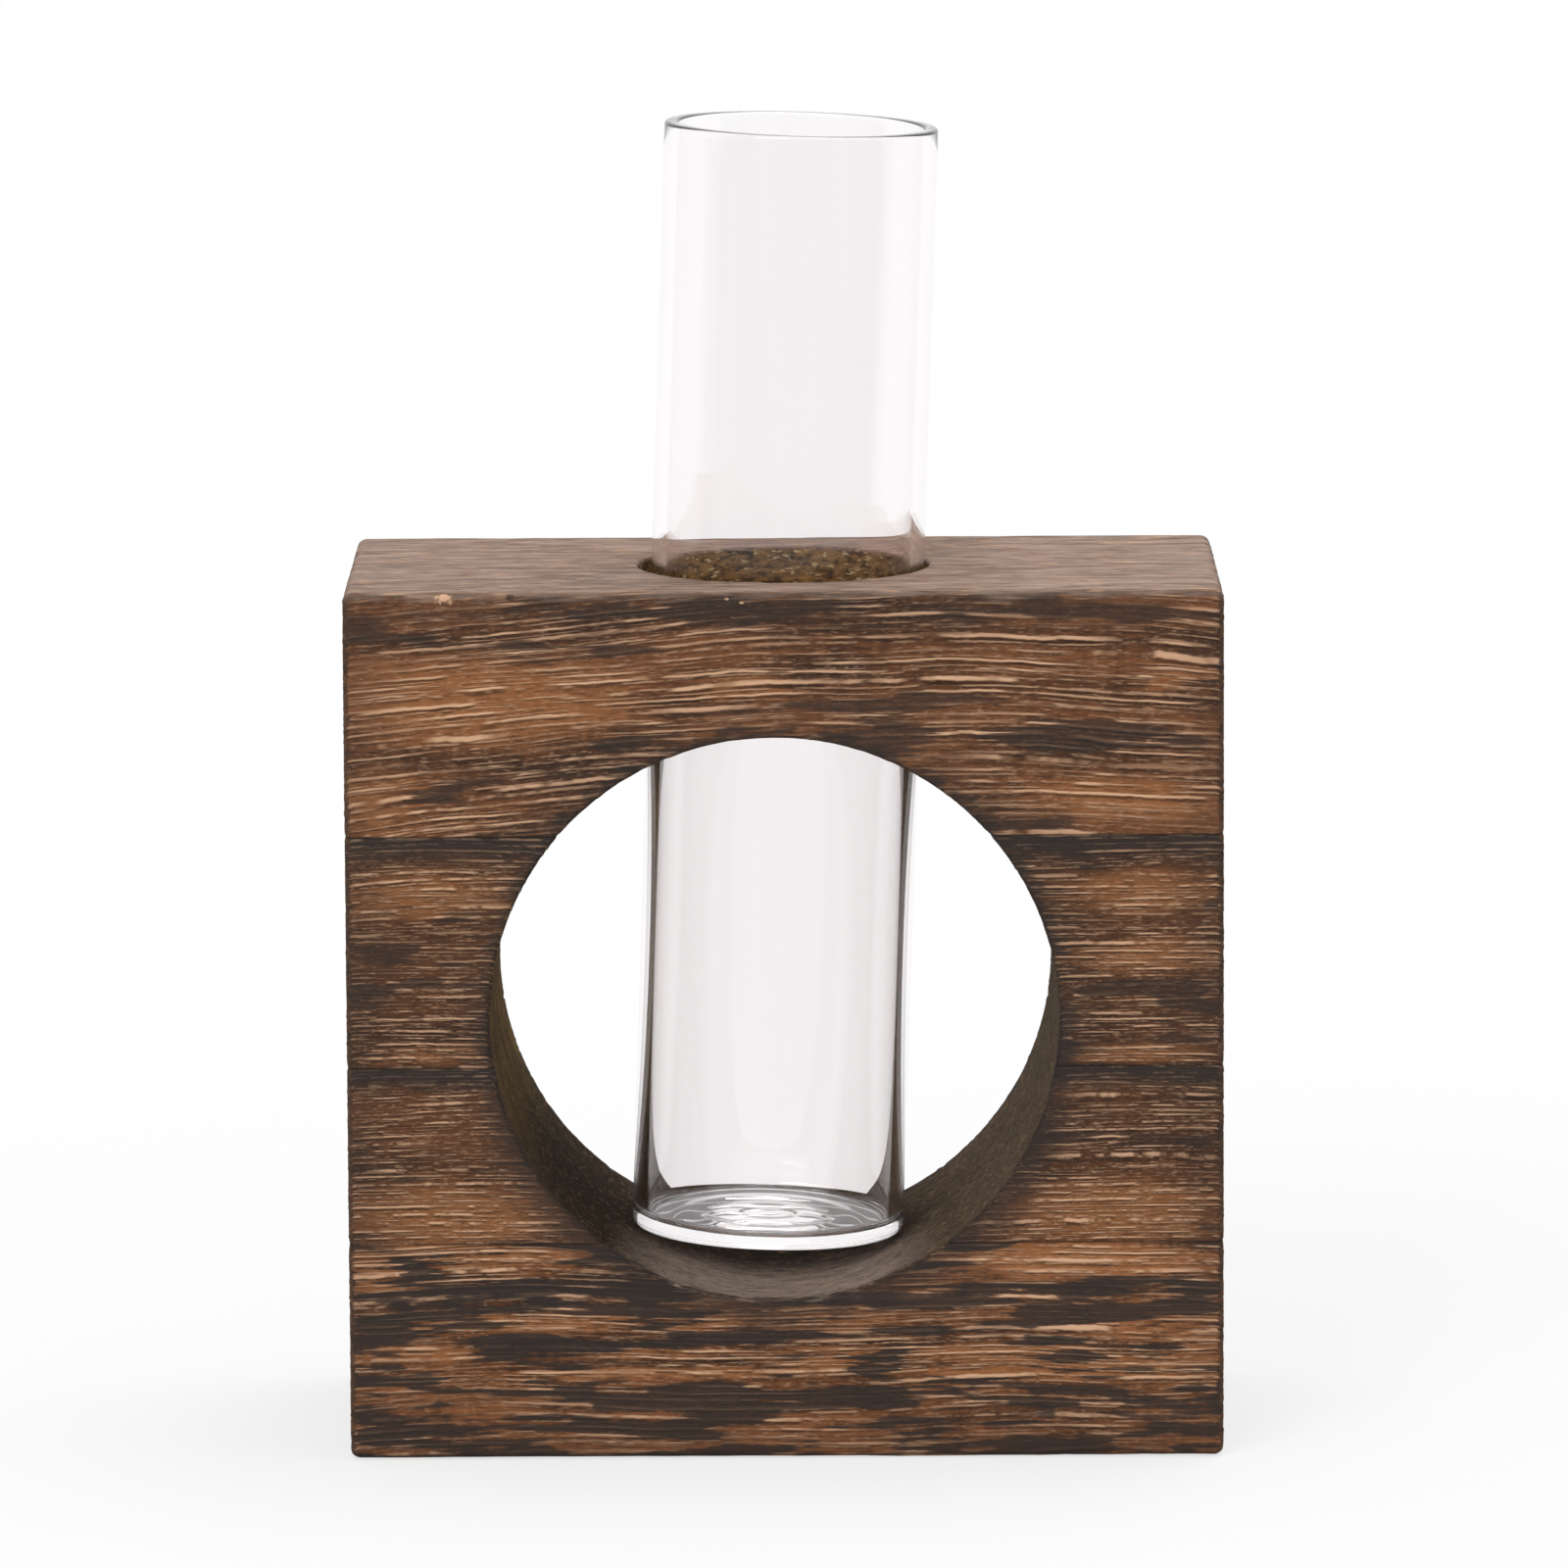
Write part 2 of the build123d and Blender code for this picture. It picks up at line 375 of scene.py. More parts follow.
def grain_group(kind):
    """Brushed grain that runs along X: pale streaks, burnt flames, open pores and slow changes of tone.

    It is built once for the materials and once for the relief, so that colour and shape agree."""
    inputs = {"Place": "Vector", **{name: "Float" for name in GRAIN_VALUES}}
    names = ("Streak", "Groove And Painted Shadow", "Flame", "Glow", "Pore", "Fibre", "Tone", "Height")
    tree, w, given, made = group("torched_grain_" + kind, kind, inputs, {name: "Float" for name in names})
    flow = grain_flow(w, given)
    streak, groove, run = grain_lines(w, given, flow, w.times(given["Seed"], BOARD_STEP))
    glow = marked(w, given["Place"], GLOWS)
    flame = grain_flame(w, given, flow, glow, run)

    cluster = w.noise(w.drawn_out(flow, length=17.0, across=3.0), detail=2.0)
    cluster = w.rise(w.linear(glow, slope=0.12, start=cluster), low=0.3, high=0.62)
    cluster = w.linear(cluster, slope=0.8, start=0.2)
    unburnt = w.linear(w.rise(flame, low=0.35, high=1.0), slope=-0.9, start=1.0)
    streak = w.times(streak, cluster, unburnt)
    # the groove under each streak is both a dent in the relief and a painted shadow in the colour
    groove = w.times(groove, cluster)

    pore = w.rise(w.noise(w.drawn_out(flow, length=2.6, across=0.26)), low=0.6, high=0.74)
    fibre = w.noise(w.drawn_out(flow, length=5.0, across=0.3), detail=2.0, roughness=0.6)
    tone = w.noise(w.drawn_out(flow, length=34.0, across=6.5), detail=2.0)
    tone = w.linear(glow, slope=0.2, start=tone)

    height = w.linear(streak, slope=0.4, start=0.5)
    height = w.linear(groove, slope=-0.3, start=height)
    height = w.linear(pore, slope=-0.15, start=height)
    height = w.linear(flame, slope=-0.2, start=height)
    height = w.linear(w.math("SUBTRACT", fibre, 0.5), slope=0.3, start=height)
    for name, value in zip(names, (streak, groove, flame, glow, pore, fibre, tone, height)):
        w.feed(made[name], value)
    return tree


def faces_group():
    """How far a place is from the block's edges, in millimetres, and which of its surfaces it is on."""
    names = ("Edge", "Window Edge", "Seam", "Window", "Hole", "Top", "Front", "End")
    outputs = {name: "Float" for name in names}
    tree, w, given, made = group("block_faces", "ShaderNodeTree", {"Place": "Vector"}, outputs)
    x, y, z = w.parts(given["Place"])
    side = w.math("SUBTRACT", HALF_WIDTH, w.math("ABSOLUTE", x))
    front = w.math("SUBTRACT", HALF_DEPTH, w.math("ABSOLUTE", y))
    top = w.math("SUBTRACT", BLOCK_HEIGHT, z)

    across = w.joined(w.math("SUBTRACT", x, WINDOW_X), 0.0, w.math("SUBTRACT", z, WINDOW_Z))
    window = w.math("ABSOLUTE", w.math("SUBTRACT", w.length(across), WINDOW_RADIUS))
    hole = w.math("ABSOLUTE", w.math("SUBTRACT", w.length(w.joined(x, y, 0.0)), HOLE_RADIUS))
    hole = w.linear(w.math("LESS_THAN", z, WINDOW_Z), slope=BLOCK_HEIGHT, start=hole)

    nearest, second = w.math("MINIMUM", side, front), w.math("MAXIMUM", side, front)
    for distance in (top, z, window):
        second = w.math("MINIMUM", second, w.math("MAXIMUM", nearest, distance))
        nearest = w.math("MINIMUM", nearest, distance)
    seam = BLOCK_HEIGHT
    for level in SEAMS:
        seam = w.math("MINIMUM", w.math("ABSOLUTE", w.math("SUBTRACT", z, level)), seam)
    on_window = w.fall(window, low=0.2, high=0.7)
    on_hole = w.fall(hole, low=0.1, high=0.4)
    on_end = w.fall(side, low=0.1, high=0.9)
    for name, value in zip(names, (second, window, seam, on_window, on_hole, top, front, on_end)):
        w.feed(made[name], value)
    return tree


# Colours of the torched wood
DEEP_BROWN = (0.058, 0.029, 0.018, 1.0)
WARM_BROWN = (0.265, 0.105, 0.043, 1.0)
GOLDEN_BROWN = (0.335, 0.142, 0.057, 1.0)
PALE_TAN = (0.690, 0.425, 0.265, 1.0)
SOOT = (0.034, 0.028, 0.0255, 1.0)
PORE_BLACK = (0.013, 0.010, 0.009, 1.0)
BORE_DARK = (0.046, 0.031, 0.018, 1.0)
BORE_GOLD = (0.210, 0.128, 0.045, 1.0)
BORE_UMBER = (0.130, 0.092, 0.060, 1.0)
# Lighter grey of the bore's floor: a painted sheen
BORE_SHEEN_GREY = (0.345, 0.266, 0.214, 1.0)
HOLE_GOLD = (0.560, 0.300, 0.095, 1.0)
HOLE_BROWN = (0.270, 0.150, 0.060, 1.0)
HOLE_SPARK = (0.950, 0.760, 0.380, 1.0)
END_DARK = (0.042, 0.029, 0.022, 1.0)
END_BROWN = (0.140, 0.073, 0.040, 1.0)
# Top face: grey of handling, lightened further as a painted sheen
WORN_SHEEN_GREY = (0.385, 0.276, 0.218, 1.0)
WORN_SHEEN_BROWN = (0.185, 0.124, 0.092, 1.0)

# How close patterns lie along X, Y and Z, in turns per millimetre
RAYS = (1.25, 1 / 9, 1 / 9)
BORE_BLOTCHES = (0.14, 0.5, 0.9)
BORE_CHIPS = (0.9, 2.2, 2.2)
END_PORES = (0.5, 2.6, 2.6)
HOLE_FLECKS = (0.55, 0.55, 1.5)
HOLE_SPARKS = (0.8, 0.8, 2.6)
PATCHES = 1 / 5
MOTTLE = 1 / 1.1
END_BENDS = 1 / 24

# Knocks on the front top edge, in millimetres: place, radius, and whether pale wood shows in them
KNOCKS = (
    ((-38.6, -24.6, 99.3), 0.6, True),
    ((-31.0, -24.4, 99.5), 0.4, False),
    ((-6.2, -24.7, 99.1), 0.22, True),
    ((-4.7, -24.9, 98.7), 0.2, True),
)
KNOCK_SHAPE = (0.55, 1.0, 1.0)
KNOCK_RAGGED = 1.6

# Shine of the wood
WOOD_ROUGHNESS = 0.78
WOOD_SPECULAR = 0.06
BUMP_STRENGTH = 0.7
BUMP_DEPTH = 0.25


def brushed_colour(w, g, given, speck, ray, ragged, z):
    """The wood as the brush left it: brown tones, pores, flames and the dark band under a seam, with a
    painted shadow in the groove under each pale streak.
    """
    warm = w.math("ADD", g["Tone"], w.spread(g["Fibre"], 0.22))
    warm = w.rise(w.math("ADD", warm, w.spread(ray, 0.07)), low=0.28, high=0.72)
    colour = w.mix(w.times(warm, given["Warmth"]), DEEP_BROWN, WARM_BROWN)
    colour = w.stain(colour, GOLDEN_BROWN, w.times(g["Glow"], warm), amount=0.5)
    colour = w.stain(colour, PORE_BLACK, g["Pore"], amount=0.35)
    colour = w.stain(colour, PALE_TAN, w.rise(speck, low=0.55, high=0.8), amount=0.3)
    colour = w.stain(colour, PORE_BLACK, w.fall(speck, low=0.22, high=0.45), amount=0.3)
    # painted shadow: the groove under each pale streak is darkened as the shade a ridge lit from above would
    # cast
    colour = w.stain(colour, PORE_BLACK, g["Groove And Painted Shadow"], amount=0.6)
    colour = w.stain(colour, SOOT, g["Flame"], amount=given["Flame Depth"])
    under = w.linear(ragged, slope=2.0, start=w.math("SUBTRACT", given["Band Level"], z))
    band = w.times(w.fall(under, low=0.6, high=given["Band Depth"]), given["Band Amount"])
    return w.mix(band, colour, SOOT), band


def burnt_edges(w, f, ragged, z):
    """How burnt a place is for being near an arris or the window's rim, which is burnt further low down."""
    arris = w.fall(w.linear(ragged, slope=1.2, start=f["Edge"]), low=0.2, high=1.1)
    lower = w.fall(z, low=WINDOW_Z - 22.0, high=WINDOW_Z + 6.0)
    reach = w.linear(lower, slope=3.6, start=2.6)
    rim = w.fall(w.linear(ragged, slope=5.0, start=f["Window Edge"]), low=0.4, high=reach)
    broad = w.fall(w.linear(ragged, slope=8.0, start=f["Edge"]), low=1.0, high=9.0)
    burn = w.math("MAXIMUM", arris, w.times(rim, 0.87))
    return w.math("MAXIMUM", w.times(broad, 0.3), burn)


def bore_colour(w, place, patch, chip):
    """The sawn wall of the window: golden on its left, umber on its right, with a painted grey sheen under
    the tube.
    """
    x, y, z = w.parts(place)
    blotch = w.noise(w.vector("MULTIPLY", place, BORE_BLOTCHES), detail=4.0, roughness=0.72)
    left = w.times(w.rise(w.times(x, -1.0), low=17.0, high=29.0), w.rise(z, low=30.0, high=42.0))
    uneven = w.linear(w.rise(patch, low=0.3, high=0.66), slope=0.6, start=0.35)
    # painted sheen: the bore's floor under and in front of the tube is lightened to grey, as the light off
    # it would be
    sheen_under_tube = w.times(w.fall(z, low=19.5, high=25.0), w.fall(y, low=-12.0, high=2.0))
    colour = w.mix(w.rise(x, low=8.0, high=22.0), BORE_DARK, BORE_UMBER)
    colour = w.mix(w.times(left, uneven), colour, BORE_GOLD)
    colour = w.mix(sheen_under_tube, colour, BORE_SHEEN_GREY)
    colour = w.stain(colour, PORE_BLACK, w.fall(blotch, low=0.3, high=0.56), amount=0.38)
    colour = w.stain(colour, PALE_TAN, w.rise(blotch, low=0.54, high=0.74), amount=0.2)
    colour = w.stain(colour, PORE_BLACK, w.fall(chip, low=0.32, high=0.46), amount=0.55)
    return w.stain(colour, PALE_TAN, w.rise(chip, low=0.6, high=0.72), amount=0.45)


def end_colour(w, place, seed):
    """The sawn ends of the boards: close growth rings round the pith, and pores."""
    _, y, z = w.parts(place)
    bend = w.noise(w.scaled(w.joined(seed, y, z), END_BENDS), detail=1.0)
    aside = w.math("SUBTRACT", y, w.linear(seed, slope=1.9, start=END_PITH[0]))
    from_pith = w.length(w.joined(0.0, aside, w.math("SUBTRACT", z, END_PITH[1])))
    turn = w.math("DIVIDE", w.math("ADD", from_pith, w.spread(bend, 2.4)), END_RING)
    ring = w.noise(w.joined(turn, seed, 0.0), detail=2.0, roughness=0.6)
    pores = w.noise(w.vector("MULTIPLY", place, END_PORES), detail=2.0, roughness=0.65)
    colour = w.mix(w.rise(ring, low=0.26, high=0.78), END_DARK, END_BROWN)
    colour = w.stain(colour, WARM_BROWN, w.rise(pores, low=0.6, high=0.72), amount=0.45)
    return w.stain(colour, PORE_BLACK, w.fall(pores, low=0.3, high=0.42), amount=0.7)


def hole_colour(w, place):
    """The drilled wall of the tube's hole, with torn golden fibres in it."""
    side = w.rise(w.math("ABSOLUTE", w.parts(place)[0]), low=11.0, high=16.0)
    fleck = w.noise(w.vector("MULTIPLY", place, HOLE_FLECKS), detail=4.0, roughness=0.72)
    sparks = w.vector("MULTIPLY", w.vector("ADD", place, SPARK_SHIFT), HOLE_SPARKS)
    spark = w.noise(sparks, detail=1.0, roughness=0.6)
    colour = w.mix(w.rise(fleck, low=0.4, high=0.66), HOLE_BROWN, HOLE_GOLD)
    colour = w.stain(colour, BORE_DARK, w.fall(fleck, low=0.36, high=0.52), amount=0.85)
    colour = w.stain(colour, HOLE_SPARK, w.rise(spark, low=0.6, high=0.67), amount=0.95)
    return w.stain(colour, BORE_DARK, side, amount=0.6)


def worn_and_sheen_colour(w, place, g):
    """The top face, grey partly from handling and partly from a painted sheen, with pale scratches and dark
    lines along the grain.
    """
    rubbed_and_sheen = w.noise(w.drawn_out(place, length=9.0, across=1.5), detail=3.0, roughness=0.65)
    scratches = w.vector("ADD", place, SCRATCH_SHIFT)
    scratch = w.noise(w.drawn_out(scratches, length=4.5, across=0.9), detail=1.0)
    # painted sheen: the grey patches lighten the top face as the light off it would
    colour = w.mix(w.rise(rubbed_and_sheen, low=0.3, high=0.66), WORN_SHEEN_BROWN, WORN_SHEEN_GREY)
    colour = w.stain(colour, DEEP_BROWN, w.fall(scratch, low=0.28, high=0.38), amount=0.5)
    colour = w.stain(colour, DEEP_BROWN, g["Pore"], amount=0.3)
    return w.stain(colour, PALE_TAN, w.rise(scratch, low=0.63, high=0.72), amount=0.55)


def wood_group(grain, faces):
    """Torched and brushed wood: the grain's masks and the block's edges, turned into colour and gloss."""
    inputs = {"Place": "Vector", **{name: "Float" for name in GRAIN_VALUES + COLOUR_VALUES}}
    outputs = {"Color": "Color", "Roughness": "Float", "Height": "Float"}
    tree, w, given, made = group("torched_wood", "ShaderNodeTree", inputs, outputs)
    place = given["Place"]
    z = w.parts(place)[2]
    grain_feeds = {name: given[name] for name in ("Place",) + GRAIN_VALUES}
    g = w.node("ShaderNodeGroup", grain_feeds, node_tree=grain).outputs
    f = w.node("ShaderNodeGroup", {"Place": place}, node_tree=faces).outputs

    patch = w.noise(w.scaled(place, PATCHES), detail=3.0, roughness=0.6)
    mottle = w.noise(w.scaled(place, MOTTLE), detail=3.0, roughness=0.65)
    speck = w.noise(w.drawn_out(place, length=1.0, across=0.2), detail=1.0, roughness=0.6)
    ray = w.noise(w.vector("MULTIPLY", place, RAYS))
    chip = w.noise(w.vector("MULTIPLY", place, BORE_CHIPS), detail=2.0, roughness=0.6)
    ragged = w.math("SUBTRACT", w.math("ADD", patch, g["Fibre"]), 1.0)

    colour, band = brushed_colour(w, g, given, speck, ray, ragged, z)
    burn = burnt_edges(w, f, ragged, z)
    colour = w.stain(colour, SOOT, burn, amount=0.9)
    dull = w.math("MAXIMUM", w.times(band, 0.75), w.times(burn, 0.95))
    streak = w.times(g["Streak"], given["Streak Strength"])
    colour = w.stain(colour, PALE_TAN, streak, amount=w.math("SUBTRACT", 1.0, dull))

    ends = end_colour(w, place, w.times(given["Seed"], END_STEP))
    colour = w.stain(colour, ends, f["End"], amount=0.93)
    inside = w.rise(w.linear(ragged, slope=6.0, start=f["Front"]), low=0.4, high=3.0)
    bored = w.times(f["Window"], inside)
    colour = w.mix(bored, colour, bore_colour(w, place, patch, chip))
    # mask of the top face, for its wear and for its painted sheen
    worn_and_sheen = w.fall(w.linear(ragged, slope=2.2, start=f["Top"]), low=0.05, high=1.2)
    knocked = w.fall(w.linear(ragged, slope=2.6, start=f["Front"]), low=0.2, high=1.6)
    worn_and_sheen = w.times(worn_and_sheen, w.linear(knocked, slope=-0.45, start=1.0))
    colour = w.stain(colour, worn_and_sheen_colour(w, place, g), worn_and_sheen, amount=0.92)
    colour = w.stain(colour, hole_colour(w, place), f["Hole"], amount=w.rise(f["Top"], low=0.2, high=0.7))
    seam = w.linear(bored, slope=-0.45, start=0.6)
    colour = w.stain(colour, PORE_BLACK, w.fall(f["Seam"], low=0.02, high=0.17), amount=seam)

    height = w.linear(w.spread(speck, 1.0), slope=0.12, start=g["Height"])
    height = w.linear(w.times(w.spread(chip, 1.0), bored), slope=0.5, start=height)
    for spot, radius, pale in KNOCKS:
        away = w.length(w.vector("MULTIPLY", w.vector("SUBTRACT", place, spot), KNOCK_SHAPE))
        away = w.linear(w.spread(mottle, radius), slope=KNOCK_RAGGED, start=away)
        knock = w.fall(away, low=radius / 2, high=radius)
        colour = w.stain(colour, PALE_TAN if pale else PORE_BLACK, knock, amount=0.8)
        height = w.math("SUBTRACT", height, knock)

    rough = w.linear(w.spread(mottle, 1.0), slope=0.1, start=WOOD_ROUGHNESS)
    rough = w.linear(worn_and_sheen, slope=-0.2, start=rough)
    rough = w.linear(bored, slope=0.2, start=rough)
    for name, value in (("Color", colour), ("Roughness", rough), ("Height", height)):
        w.feed(made[name], value)
    return tree


def board_material(board, wood):
    """The wood of one board, with its own grain."""
    made = bpy.data.materials.new(f"{board}_board_wood")
    made.use_nodes = True
    w = Wiring(made.node_tree)
    shader = made.node_tree.nodes["Principled BSDF"]
    place = w.scaled(w.node("ShaderNodeTexCoord").outputs["Object"], 1.0 / MM)
    look = w.node("ShaderNodeGroup", node_tree=wood)
    w.feed(look.inputs["Place"], place)
    for name, value in BOARD_LOOKS[board].items():
        look.inputs[name].default_value = value
    bump = w.node("ShaderNodeBump", {"Strength": BUMP_STRENGTH, "Distance": BUMP_DEPTH * MM})
    w.feed(bump.inputs["Height"], look.outputs["Height"])
    w.feed(shader.inputs["Base Color"], look.outputs["Color"])
    w.feed(shader.inputs["Roughness"], look.outputs["Roughness"])
    shader.inputs["Specular IOR Level"].default_value = WOOD_SPECULAR
    w.feed(shader.inputs["Normal"], bump.outputs["Normal"])
    return made


# Colours of the glass, straight through and edge-on, and the smears on it
GLASS_CLEAR = (0.999, 0.982, 0.984, 1.0)
GLASS_ROSE = (0.990, 0.964, 0.968, 1.0)
GLASS_EDGE = (0.880, 0.830, 0.835, 1.0)
GLASS_SMEARS = (0.3, 0.3, 0.012)
SMEAR_ROUGHNESS = 0.01
GLASS_IOR = 1.5
EDGE_BLEND = 0.5


def glass_material():
    """Clear drawn glass with faint smears on it."""
    made = bpy.data.materials.new("clear_tube_glass")
    made.use_nodes = True
    w = Wiring(made.node_tree)
    shader = made.node_tree.nodes["Principled BSDF"]
    place = w.scaled(w.node("ShaderNodeTexCoord").outputs["Object"], 1.0 / MM)
    smear = w.noise(w.vector("MULTIPLY", place, GLASS_SMEARS), detail=2.0)
    w.feed(shader.inputs["Roughness"], w.times(w.rise(smear, low=0.5, high=0.8), SMEAR_ROUGHNESS))
    edge_on = w.node("ShaderNodeLayerWeight", {"Blend": EDGE_BLEND}).outputs["Facing"]
    tint = w.mix(w.rise(smear, low=0.3, high=0.7), GLASS_CLEAR, GLASS_ROSE)
    tint = w.mix(w.rise(edge_on, low=0.5, high=0.95), tint, GLASS_EDGE)
    w.feed(shader.inputs["Base Color"], tint)
    shader.inputs["Transmission Weight"].default_value = 1.0
    shader.inputs["IOR"].default_value = GLASS_IOR
    return made


def new_piece(name, mesh, material, body, node):
    """A finished piece that stands for a CAD node and moves with its body."""
    piece = bpy.data.objects.new(name, mesh)
    bpy.context.scene.collection.objects.link(piece)
    mesh.materials.clear()
    mesh.materials.append(material)
    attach(piece, body)
    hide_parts(node)
    return piece


def outward(places):
    """The outward direction of the block's surface at places in millimetres, blended over eased edges."""
    x, y, z = places.T
    nothing = np.zeros_like(x)
    from_axis = np.hypot(x - WINDOW_X, z - WINDOW_Z)
    from_hole = np.hypot(x, y)
    far = np.where(z > WINDOW_Z, 0.0, BLOCK_HEIGHT)
    to_axis = ((WINDOW_X - x) / from_axis, nothing, (WINDOW_Z - z) / from_axis)
    sides = (
        (HALF_WIDTH - abs(x), (np.sign(x), nothing, nothing)),
        (HALF_DEPTH - abs(y), (nothing, np.sign(y), nothing)),
        (BLOCK_HEIGHT - z, (nothing, nothing, nothing + 1)),
        (z, (nothing, nothing, nothing - 1)),
        (from_axis - WINDOW_RADIUS, to_axis),
        (from_hole - HOLE_RADIUS + far, (-x / from_hole, -y / from_hole, nothing)),
    )
    total = np.zeros_like(places)
    for distance, direction in sides:
        total += np.clip(EASED_EDGE - distance, 0, None)[:, None] * np.array(direction).T
    return total / np.maximum(np.linalg.norm(total, axis=1), WELD)[:, None]


def seam_groove(places):
    """Depth of the fine groove along each glued seam, at places in millimetres."""
    away = np.min([abs(places[:, 2] - level) for level in SEAMS], axis=0)
    return SEAM_GROOVE * np.clip(1 - away / SEAM_GROOVE_HALF, 0, 1)


def fine_stave(node):
    """A copy of a stave's mesh, cut into a fine lattice on every face that shows."""
    b = bmesh.new()
    b.from_mesh(frame["nodes"][node].data)
    bmesh.ops.remove_doubles(b, verts=b.verts, dist=WELD)
    bmesh.ops.dissolve_limit(b, angle_limit=FLAT_ANGLE, verts=b.verts, edges=b.edges)
    glued = [
        face for face in b.faces
        if abs(face.normal.z) > cos(FLAT_ANGLE)
        and min(abs(face.calc_center_median().z / MM - seam) for seam in SEAMS) < WELD / MM
    ]
    bmesh.ops.delete(b, geom=glued, context="FACES_ONLY")
    low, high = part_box(node)
    for axis, step in enumerate(LATTICE):
        direction = Vector([float(i == axis) for i in range(3)])
        first = int(low[axis] / MM / step) - 1
        last = int(high[axis] / MM / step) + 1
        for count in range(first, last):
            level = (count + 0.5) * step * MM
            if low[axis] < level < high[axis]:
                everything = b.verts[:] + b.edges[:] + b.faces[:]
                bmesh.ops.bisect_plane(
                    b, geom=everything, dist=WELD * MM, plane_co=direction * level, plane_no=direction
                )
    open_edges = [edge for edge in b.edges if edge.is_boundary]
    bmesh.ops.holes_fill(b, edges=open_edges, sides=0)
    bmesh.ops.recalc_face_normals(b, faces=b.faces)
    mesh = bpy.data.meshes.new(node + "_brushed")
    b.to_mesh(mesh)
    b.free()
    return mesh


def relief_tree(board, grain):
    """Geometry nodes that press the board's grain into its surface, along the direction kept in the mesh."""
    sockets = {"Geometry": "Geometry"}
    tree, w, given, made = group(f"{board}_board_relief", "GeometryNodeTree", sockets, sockets)
    place = w.scaled(w.node("GeometryNodeInputPosition").outputs[0], 1.0 / MM)
    look = w.node("GeometryNodeGroup", node_tree=grain)
    w.feed(look.inputs["Place"], place)
    for name in GRAIN_VALUES:
        look.inputs[name].default_value = BOARD_LOOKS[board][name]
    kept = "GeometryNodeInputNamedAttribute"
    direction = w.node(kept, {"Name": "outward"}, data_type="FLOAT_VECTOR").outputs[0]
    groove = w.node(kept, {"Name": "groove"}, data_type="FLOAT").outputs[0]
    depth = w.times(w.math("SUBTRACT", look.outputs["Height"], 1.0), RELIEF_DEPTH * MM)
    offset = w.scaled(direction, w.math("SUBTRACT", depth, groove))
    moved = w.node("GeometryNodeSetPosition", {"Geometry": given["Geometry"], "Offset": offset})
    w.feed(made["Geometry"], moved.outputs[0])
    return tree


def brushed(mesh, relief):
    """The mesh with its board's relief pressed in."""
    places = np.empty(len(mesh.vertices) * 3)
    mesh.vertices.foreach_get("co", places)
    places = places.reshape(-1, 3) / MM
    direction = mesh.attributes.new("outward", "FLOAT_VECTOR", "POINT")
    direction.data.foreach_set("vector", outward(places).ravel())
    groove = mesh.attributes.new("groove", "FLOAT", "POINT")
    groove.data.foreach_set("value", seam_groove(places) * MM)
    carrier = bpy.data.objects.new("relief_carrier", mesh)
    bpy.context.scene.collection.objects.link(carrier)
    carrier.modifiers.new("relief", "NODES").node_group = relief
    ready = carrier.evaluated_get(bpy.context.evaluated_depsgraph_get())
    made = bpy.data.meshes.new_from_object(ready)
    bpy.data.objects.remove(carrier)
    for name in ("outward", "groove"):
        made.attributes.remove(made.attributes[name])
    made.shade_smooth()
    made.set_sharp_from_angle(angle=CREASE_ANGLE)
    return made


def make_block():
    """The six staves of the block, each with its board's grain in colour and relief."""
    wood = wood_group(grain_group("ShaderNodeTree"), faces_group())
    grain = grain_group("GeometryNodeTree")
    for board, nodes in BOARDS.items():
        material = board_material(board, wood)
        relief = relief_tree(board, grain)
        for node in nodes:
            mesh = brushed(fine_stave(node), relief)
            new_piece(node + "_wood", mesh, material, "block", node)


def arc(centre, radius, start, end):
    """Points of an arc in the tube's section, from one angle to another, in degrees."""
    angles = [radians(start + (end - start) * step / ARC_STEPS) for step in range(ARC_STEPS + 1)]
    return [(centre[0] + radius * cos(a), centre[1] + radius * sin(a)) for a in angles]


def tube_section(radius):
    """Half of the tube's section, from mid underside, round the rim, to the middle of its floor."""
    bore = radius - TUBE_WALL
    heel = radius - HEEL_RADIUS
    rim_level = TUBE_LENGTH - RIM_RADIUS
    corner = bore - INNER_CORNER_RADIUS
    corner_level = TUBE_FLOOR + INNER_CORNER_RADIUS
    under = [(across, 0.0) for across in np.linspace(0, heel, FOOT_ROWS)[:-1]]
    outside = [(radius, level) for level in np.linspace(HEEL_RADIUS, rim_level, WALL_ROWS)[1:-1]]
    inside = [(bore, level) for level in np.linspace(rim_level, corner_level, WALL_ROWS)[1:-1]]
    floor_rows = np.linspace(corner, 0, FLOOR_ROWS)[1:]
    floor = [(across, TUBE_FLOOR + ripple(across, corner)) for across in floor_rows]
    return (
        under
        + arc((heel, HEEL_RADIUS), HEEL_RADIUS, -90, 0)
        + outside
        + arc((radius - RIM_RADIUS, rim_level), RIM_RADIUS, 0, 90)
        + arc((bore + RIM_RADIUS, rim_level), RIM_RADIUS, 90, 180)
        + inside
        + arc((corner, corner_level), INNER_CORNER_RADIUS, 0, -90)
        + floor
    )


def ripple(across, reach):
    """Height of the pressed rings of the tube's floor, which fade out at its edge."""
    fade = min(1.0, (1.0 - across / reach) / RIPPLE_EDGE)
    return RIPPLE_HEIGHT * fade * cos(2 * pi * across / RIPPLE_PITCH)


def floor_rise(across, level, bore):
    """How far the tube's uneven floor rises for each millimetre to the back. It fades out up the wall."""
    if across > bore or level < TUBE_FLOOR / 2:
        return 0.0
    return FLOOR_SLOPE * min(1.0, max(0.0, 1.0 - (level - TUBE_FLOOR) / SLOPE_FADE))


